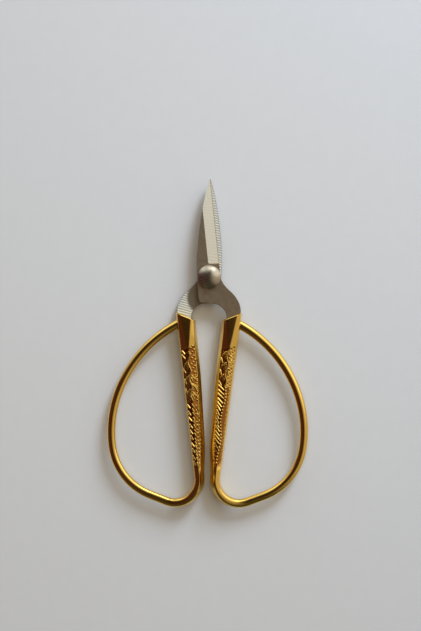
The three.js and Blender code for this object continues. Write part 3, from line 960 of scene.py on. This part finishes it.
lip_scale = 1 - 2 * MOUTH_CHAMFER / BAR_THICK
mouth_length = RELIEF_START - MOUTH_CHAMFER
mouth_depths = [MOUTH_CHAMFER + mouth_length * i / MOUTH_STEPS for i in range(MOUTH_STEPS + 1)]
relief_depths = [RELIEF_START + RELIEF_LENGTH * (i + 1) / RELIEF_ROWS for i in range(RELIEF_ROWS)]
heel_depths = np.linspace(RELIEF_END, bar_length, HEEL_END_STEPS + 1)[1:]
stations = [bar_station(0.0, lip_scale)]
stations += [bar_station(depth) for depth in [*mouth_depths, *relief_depths, *heel_depths]]
stations += [
    bow_station(*place, BOW_WIDTH_END, eased((i + 1) / HEEL_STEPS)) for i, place in enumerate(heel_line)
]
stations += tapered(run_line, BOW_WIDTH_END, BOW_WIDTH_END)
stations += tapered(corner_line, BOW_WIDTH_END, BOW_WIDTH_MID)
stations += tapered(sweep_line, BOW_WIDTH_MID, BOW_WIDTH_END)
stations += tapered(sink_line, BOW_WIDTH_END, BOW_WIDTH_END)
print(len(stations), "stations of", COLUMNS, "points")

# %% Lay the relief onto the facets
BORDER_COLUMNS = 3  # over which the relief fades out beside the plain side
BEGIN, BEGIN_SLANT = 0.9, 0.4  # where the relief begins, and the slant of that line
FADE_IN, FADE_OUT = 0.7, 2.0  # lengths over which it rises and dies away
PLAIN = 0.6  # tint of a surface without relief
relief_rows = slice(1 + len(mouth_depths), 1 + len(mouth_depths) + RELIEF_ROWS)
rings = np.array([ring for _, _, ring, _ in stations])
column = np.arange(COLUMNS)
from_side = np.minimum(column % (2 * QUARTER), 2 * QUARTER - column % (2 * QUARTER))
distance = np.array(relief_depths)[:, None] - RELIEF_START + np.zeros(COLUMNS)
border = np.clip((from_side - SIDE_COLUMNS) / BORDER_COLUMNS, 0, 1)
offset = rings[relief_rows, :, 0]
on_top = column <= 2 * QUARTER
begin = BEGIN + np.where(on_top, -BEGIN_SLANT, BEGIN_SLANT) * offset
ends = np.clip(np.minimum((distance - begin) / FADE_IN, (RELIEF_LENGTH - distance) / FADE_OUT), 0, 1)
height = np.where(on_top, plume_relief(distance, offset), vine_relief(distance, offset))
tangent = np.roll(rings, -1, axis=1) - np.roll(rings, 1, axis=1)
outward = np.stack((tangent[..., 1], -tangent[..., 0]), axis=-1)
outward /= np.linalg.norm(outward, axis=-1)[..., None]
lift = (RELIEF_GROUND + (RELIEF_HEIGHT - RELIEF_GROUND) * height) * border * ends
rings[relief_rows] += outward[relief_rows] * lift[..., None]
rings[..., 1] = np.clip(rings[..., 1], -BAR_THICK / 2, BAR_THICK / 2)

# Heights that tint the gold: the relief's hollows get painted shade
relief_map = np.full(rings.shape[:2], PLAIN)
relief_map[relief_rows] += (height - PLAIN) * border * ends
print("relief on", RELIEF_ROWS, "stations, highest", round(float(lift.max()), 3))


# %% Wrap the grid round the line
FINE_WELD = 0.0002  # the relief's points lie close, so only true doubles are merged


def cast_handle():
    """The casting's mesh, with the height of the relief kept as an attribute for the shade painted into the
    gold's hollows.
    """
    work = bmesh.new()
    rows = len(stations)
    bmesh.ops.create_grid(work, x_segments=COLUMNS, y_segments=rows - 1, size=1)
    height_layer = work.verts.layers.float.new("relief")
    for vert in work.verts:
        col = round((vert.co.x + 1) / 2 * COLUMNS) % COLUMNS
        row = round((vert.co.y + 1) / 2 * (rows - 1))
        centre, direction, _, lean = stations[row]
        x, z = rings[row, col]
        left = Vector((-direction.y, direction.x))
        vert.co.xy = centre + left * x + direction * (x * lean)
        vert.co.z = z
        vert[height_layer] = relief_map[row, col]
    bmesh.ops.remove_doubles(work, verts=work.verts, dist=FINE_WELD)
    open_edges = [edge for edge in work.edges if edge.is_boundary]
    bmesh.ops.holes_fill(work, edges=open_edges, sides=0)
    bmesh.ops.recalc_face_normals(work, faces=work.faces)
    mesh = bpy.data.meshes.new("cast_handle")
    work.to_mesh(mesh)
    work.free()
    mesh.shade_smooth()
    mesh.set_sharp_from_angle(angle=math.radians(50))
    return mesh


casting = cast_handle()
set_down(casting.copy(), "cast_right_handle", FRONT, [gold], "front_half", "right_handle")
set_down(casting, "cast_left_handle", BACK, [gold], "back_half", "left_handle")

# %% [markdown]
# ## Paper
# The scissors lie on plain white paper. A large flat grid is enough for it, a hair below the scissors so
# that the faces don't meet. It only sets the stage and is no piece of the scissors.

# %% Paper
FLOOR_DROP = 0.0001
paper = bpy.data.materials.new("plain_paper")
paper.use_nodes = True
tree = paper.node_tree
shader = tree.nodes["Principled BSDF"]
shader.inputs["Roughness"].default_value = 0.9
shader.inputs["Specular IOR Level"].default_value = 0.15
fibre = mottle(tree, place_pattern(tree), scale=260, detail=4)
paper_tint = between(tree, fibre, (0.622, 0.655, 0.708), (0.649, 0.683, 0.733))
tree.links.new(paper_tint.outputs["Color"], shader.inputs["Base Color"])

sheet = bmesh.new()
bmesh.ops.create_grid(sheet, x_segments=1, y_segments=1, size=3)
floor_mesh = bpy.data.meshes.new("paper_floor")
sheet.to_mesh(floor_mesh)
sheet.free()
floor_mesh.materials.append(paper)
floor = bpy.data.objects.new("paper_floor", floor_mesh)
bpy.context.scene.collection.objects.link(floor)
floor.location.z = -FLOOR_DROP
print("floor at", floor.location.z)

# %% [markdown]
# ## Light and room
# Soft daylight from the upper right throws soft shadows to the lower left, and a wide warm lamp overhead
# opens them. Gold mirrors whatever is round it, so the room matters as much as the lamps. The lamps aren't
# mirrored themselves. The metal mirrors soft patches of the room instead: the window and the pale walls
# beside it, a warm wall on the right, and a dark room to the left and towards the viewer.

# %% Window light
AIM = Vector((0, 0.008, 0.003))


def sky_direction(azimuth, elevation):
    """A direction by its azimuth from +X and its elevation, both in degrees."""
    level = math.cos(math.radians(elevation))
    return Vector((
        level * math.cos(math.radians(azimuth)),
        level * math.sin(math.radians(azimuth)),
        math.sin(math.radians(elevation)),
    ))


def soft_lamp(name, azimuth, elevation, distance, width, height, power, colour):
    """A flat lamp in a direction and at a distance, turned to the scissors."""
    lamp = bpy.data.lights.new(name, "AREA")
    lamp.shape = "RECTANGLE"
    lamp.size = width
    lamp.size_y = height
    lamp.energy = power
    lamp.color = colour
    thing = bpy.data.objects.new(name, lamp)
    toward = sky_direction(azimuth, elevation)
    thing.location = AIM + toward * distance
    thing.rotation_euler = toward.to_track_quat("Z", "Y").to_euler()
    thing.visible_glossy = False
    bpy.context.scene.collection.objects.link(thing)
    print(name, [round(c, 3) for c in thing.location])


soft_lamp(
    "window", azimuth=62, elevation=28, distance=0.62, width=0.15, height=0.30, power=2.35,
    colour=(0.87, 1.0, 1.16),
)
soft_lamp(
    "ceiling", azimuth=80, elevation=82, distance=0.36, width=0.28, height=0.28, power=0.36,
    colour=(1.0, 0.79, 0.50),
)

# %% The room that the metal mirrors
world = bpy.data.worlds.new("room")
world.use_nodes = True
bpy.context.scene.world = world
tree = world.node_tree
backdrop = tree.nodes["Background"]
gaze = tree.nodes.new("ShaderNodeTexCoord").outputs["Generated"]


def glow(azimuth, elevation, inner, outer, colour):
    """A soft patch of light: full within one angle of a direction, gone beyond another."""
    dot = tree.nodes.new("ShaderNodeVectorMath")
    dot.operation = "DOT_PRODUCT"
    dot.inputs[1].default_value = sky_direction(azimuth, elevation)
    tree.links.new(gaze, dot.inputs[0])
    fade = tree.nodes.new("ShaderNodeMapRange")
    fade.interpolation_type = "SMOOTHSTEP"
    fade.inputs["From Min"].default_value = math.cos(math.radians(outer))
    fade.inputs["From Max"].default_value = math.cos(math.radians(inner))
    tree.links.new(dot.outputs["Value"], fade.inputs["Value"])
    tinted = tree.nodes.new("ShaderNodeMix")
    tinted.data_type = "RGBA"
    tinted.inputs["A"].default_value = (0, 0, 0, 1)
    tinted.inputs["B"].default_value = (*colour, 1)
    tree.links.new(fade.outputs["Result"], tinted.inputs["Factor"])
    return tinted.outputs["Result"]


def together(first, second):
    """The sum of two lights."""
    total = tree.nodes.new("ShaderNodeVectorMath")
    total.operation = "ADD"
    tree.links.new(first, total.inputs[0])
    tree.links.new(second, total.inputs[1])
    return total.outputs["Vector"]


# Azimuth, elevation, the angles where a patch is still full and where it is gone, and its colour.
room = [
    glow(64, 28, 7, 15, (2.7, 2.7, 2.55)),  # window
    glow(88, 30, 7, 15, (1.3, 1.3, 1.2)),  # its second pane
    glow(42, 28, 8, 42, (0.95, 0.99, 1.02)),  # wall to the right of it
    glow(108, 24, 8, 36, (0.78, 0.80, 0.76)),  # wall to the left of it
    glow(135, 15, 5, 28, (0.62, 0.64, 0.65)),  # corner of the room
    glow(0, 35, 12, 55, (0.52, 0.45, 0.34)),  # warm wall on the right
    glow(190, 12, 20, 80, (0.050, 0.009, 0.010)),  # dark wall on the left
    glow(265, 25, 5, 50, (0.03, 0.04, 0.02)),  # dark room towards the viewer
]
ambient = tree.nodes.new("ShaderNodeRGB")
ambient.outputs["Color"].default_value = (0.026, 0.016, 0.012, 1)
light = ambient.outputs["Color"]
for patch in room:
    light = together(light, patch)
tree.links.new(light, backdrop.inputs["Color"])
print("room of", len(room), "patches")

# %% [markdown]
# ## Camera
# The camera looks straight down on the scissors, turned by a hair, as they lie a little askew in the
# picture. The lens follows from the height and from how much of the table is to be seen.

# %% Camera
FIELD_HEIGHT = 0.1918  # metres of table from the bottom to the top of the picture
CAMERA_HEIGHT = 0.38
CAMERA_SHIFT = (0.0005, -0.0117)  # from the pivot
TILT = math.radians(0.6)
camera = bpy.data.cameras.new("camera")
camera.sensor_fit = "VERTICAL"
camera.sensor_height = 24
camera.lens = camera.sensor_height * CAMERA_HEIGHT / FIELD_HEIGHT
camera.clip_start = 0.01
eye = bpy.data.objects.new("camera", camera)
eye.location = pivot + Vector((*CAMERA_SHIFT, CAMERA_HEIGHT))
eye.rotation_euler = (0, 0, TILT)
bpy.context.scene.collection.objects.link(eye)
bpy.context.scene.camera = eye
bpy.context.scene.view_settings.view_transform = "Standard"
print("lens", round(camera.lens, 1))
